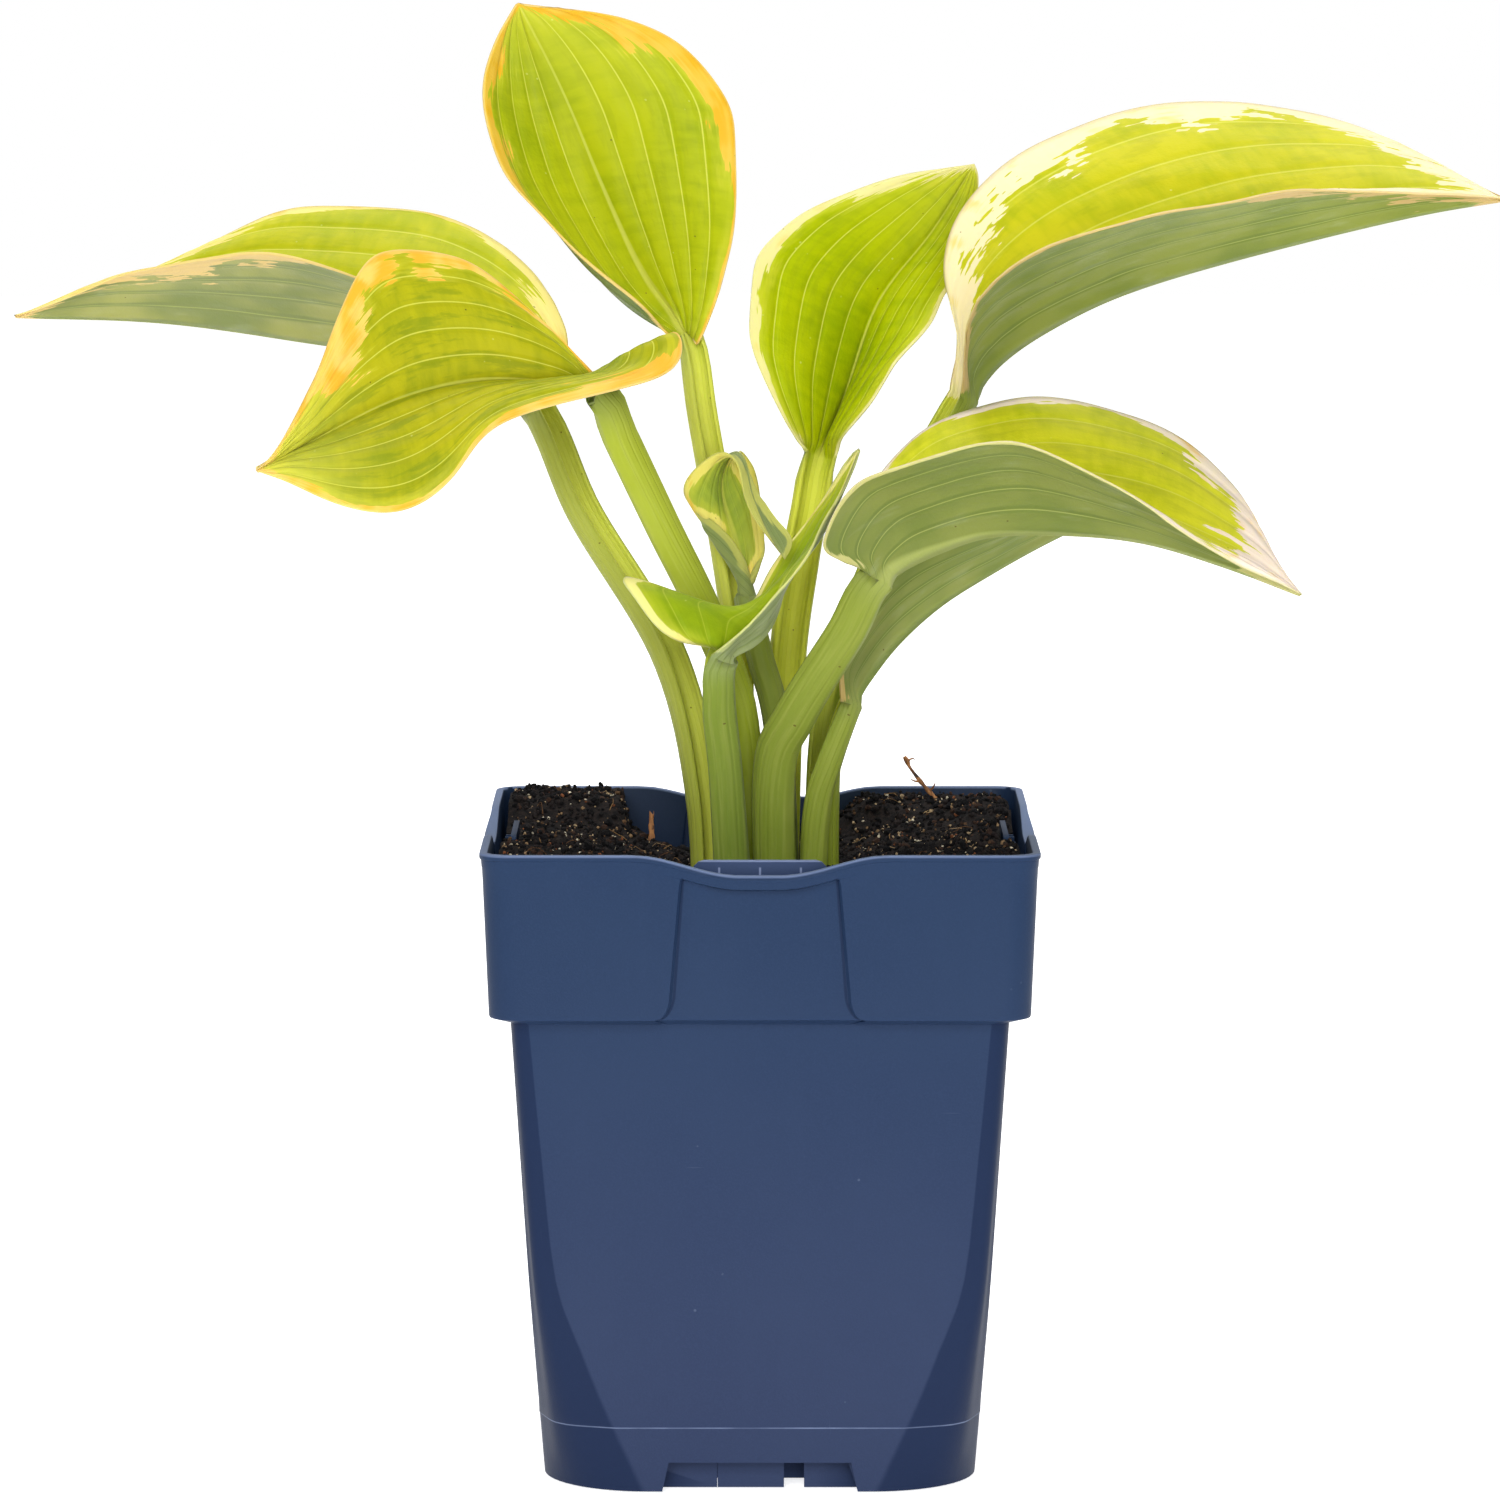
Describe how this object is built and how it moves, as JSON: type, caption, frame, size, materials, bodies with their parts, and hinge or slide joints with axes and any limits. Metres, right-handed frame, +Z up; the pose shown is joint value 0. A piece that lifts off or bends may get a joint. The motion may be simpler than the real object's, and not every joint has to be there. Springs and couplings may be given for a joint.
{
  "type": "potted foliage plant",
  "caption": "Hosta plant with broad cream-edged yellow-green leaves on channelled stalks, growing in a square blue plastic nursery pot filled with dark potting soil.",
  "frame": {"origin": "on the ground under the middle of the pot, which is also the middle of the plant's bounding box", "axes": "+X to the right along the spread of the plant, +Y to the back, +Z up"},
  "size_m": [0.3, 0.112, 0.293],
  "materials": {
    "pot_blue": "satin, finely mottled",
    "peat": "rough, crumbly",
    "twig_wood": "rough",
    "bark": "rough",
    "leaf_gold_edge": "satin, veined, golden edges",
    "leaf_cream_edge": "satin, veined, cream edges",
    "leaf_young": "satin with a pale bloom"
  },
  "bodies": {
    "root": {"pot": "pot_blue", "soil": "peat", "twig": "twig_wood", "bark_chip": "bark", "leaf_far_left": "leaf_cream_edge", "leaf_front_left": "leaf_gold_edge", "leaf_upright": "leaf_gold_edge", "leaf_centre": "leaf_cream_edge", "leaf_far_right": "leaf_cream_edge", "leaf_front_right": "leaf_cream_edge", "leaf_low_right": "leaf_cream_edge", "leaf_young_back": "leaf_young", "leaf_young_front": "leaf_young"}
  },
  "joints": []
}
